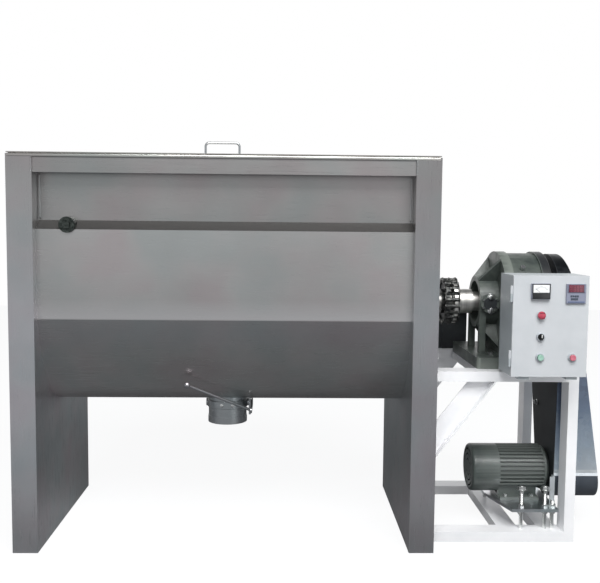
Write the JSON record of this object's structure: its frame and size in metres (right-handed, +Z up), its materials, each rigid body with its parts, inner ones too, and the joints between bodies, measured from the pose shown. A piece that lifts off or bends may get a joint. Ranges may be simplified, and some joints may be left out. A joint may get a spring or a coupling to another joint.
{
  "type": "ribbon blender",
  "caption": "Horizontal ribbon mixer: jacketed trough on hollow end frames, helical ribbon agitator, bottom discharge valve, and a geared belt drive on a side frame.",
  "frame": {"origin": "on the floor, under the middle of the machine's overall length and depth", "axes": "+X along the agitator shaft towards the drive, +Y to the back, +Z up"},
  "size_m": [2.3874, 0.909, 1.5575],
  "materials": {
    "stainless_steel": "brushed",
    "brushed_plate": "brushed",
    "machined_steel": "machined",
    "galvanised_sheet": "satin",
    "black_sheet": "satin",
    "oiled_chain": "oiled",
    "cast_bearing": "painted",
    "green_grey_casting": "painted",
    "dark_casting": "painted",
    "motor_casting": "painted",
    "zinc_bolts": "zinc plated",
    "seal_rubber": "matte",
    "belt_rubber": "matte",
    "instrument_plastic": "satin",
    "black_plastic": "satin",
    "green_plastic": "gloss",
    "red_plastic": "gloss"
  },
  "bodies": {
    "machine": {"left_end_frame": "stainless_steel", "right_end_frame": "stainless_steel", "trough_shell": "stainless_steel", "jacket_shell": "stainless_steel", "jacket_socket": "stainless_steel", "socket_plug": "stainless_steel", "top_rails": "stainless_steel", "lid_seal": "seal_rubber", "lid_hinge_brackets": "stainless_steel", "lid_hinge_pins": "stainless_steel", "outlet_spout": "stainless_steel", "outlet_collar": "stainless_steel", "end_bearings": "cast_bearing", "shaft_glands": "machined_steel", "coupling_guard": "black_sheet", "coupling_guard_bar": "machined_steel", "reducer_frame": "green_grey_casting", "reducer_bearing_cap": "dark_casting", "reducer_side_cover": "dark_casting", "reducer_bolts": "zinc_bolts", "reducer_drum": "green_grey_casting", "reducer_plug": "zinc_bolts", "reducer_input_cover": "dark_casting", "v_belts": "belt_rubber", "guard_cover": "galvanised_sheet", "guard_foot": "black_sheet", "guard_back_plate": "black_sheet", "guard_brackets": "galvanised_sheet", "motor_housing": "motor_casting", "motor_end_shield": "motor_casting", "motor_fan_cover": "motor_casting", "motor_terminal_box": "motor_casting", "motor_plate": "brushed_plate", "motor_adjusters": "zinc_bolts", "frame_rails": "brushed_plate", "frame_posts": "brushed_plate", "frame_braces": "brushed_plate", "control_case": "brushed_plate"},
    "agitator": {"main_shaft": "stainless_steel", "outer_ribbons": "stainless_steel", "inner_ribbons": "stainless_steel", "ribbon_spokes": "stainless_steel", "shaft_sprocket": "machined_steel", "drive_sprocket": "machined_steel", "coupling_chain": "oiled_chain", "output_shaft": "machined_steel"},
    "reducer_input": {"input_shaft": "machined_steel", "large_pulley": "dark_casting"},
    "rotor": {"motor_rotor": "machined_steel"},
    "lid": {"lid_plate": "stainless_steel", "lid_stiffeners": "stainless_steel", "lid_handle": "stainless_steel", "lid_hinge_straps": "stainless_steel"},
    "outlet_valve": {"outlet_flap": "stainless_steel", "outlet_lever": "stainless_steel"},
    "door": {"control_door": "brushed_plate", "panel_instruments": "instrument_plastic"},
    "selector": {"selector_switch": "black_plastic"},
    "start": {"start_button": "green_plastic"},
    "stop": {"stop_button": "red_plastic"}
  },
  "joints": [
    {"name": "agitator_spin", "type": "hinge", "parent": "machine", "child": "agitator", "pos_m": [-0.33374, 0.0255, 0.935], "axis": [1, 0, 0], "continuous": true},
    {"name": "reducer_input_spin", "type": "hinge", "parent": "machine", "child": "reducer_input", "pos_m": [0.99826, 0.0255, 0.935], "axis": [1, 0, 0], "continuous": true},
    {"name": "motor_spin", "type": "hinge", "parent": "machine", "child": "rotor", "pos_m": [0.99826, -0.0445, 0.24], "axis": [1, 0, 0], "continuous": true},
    {"name": "lid_hinge", "type": "hinge", "parent": "machine", "child": "lid", "pos_m": [-0.33374, 0.4435, 1.5], "axis": [-1, 0, 0], "range_deg": [0, 100]},
    {"name": "outlet_valve_turn", "type": "hinge", "parent": "machine", "child": "outlet_valve", "pos_m": [-0.34874, 0.0255, 0.498], "axis": [1, 0, 0], "range_deg": [0, 90]},
    {"name": "control_door_hinge", "type": "hinge", "parent": "machine", "child": "door", "pos_m": [0.72126, -0.4285, 0.8845], "axis": [0, 0, -1], "range_deg": [0, 110]},
    {"name": "selector_turn", "type": "hinge", "parent": "door", "child": "selector", "pos_m": [0.83126, -0.4345, 0.846], "axis": [0, 1, 0], "range_deg": [-45, 45]},
    {"name": "start_press", "type": "slide", "parent": "door", "child": "start", "axis": [0, 1, 0], "range_m": [0, 0.005], "stiffness_N_per_m": 400},
    {"name": "stop_press", "type": "slide", "parent": "door", "child": "stop", "axis": [0, 1, 0], "range_m": [0, 0.005], "stiffness_N_per_m": 400}
  ],
  "couplings": [
    {"joint": "reducer_input_spin", "follows": "agitator_spin", "ratio": -17},
    {"joint": "motor_spin", "follows": "agitator_spin", "ratio": -48.28}
  ]
}
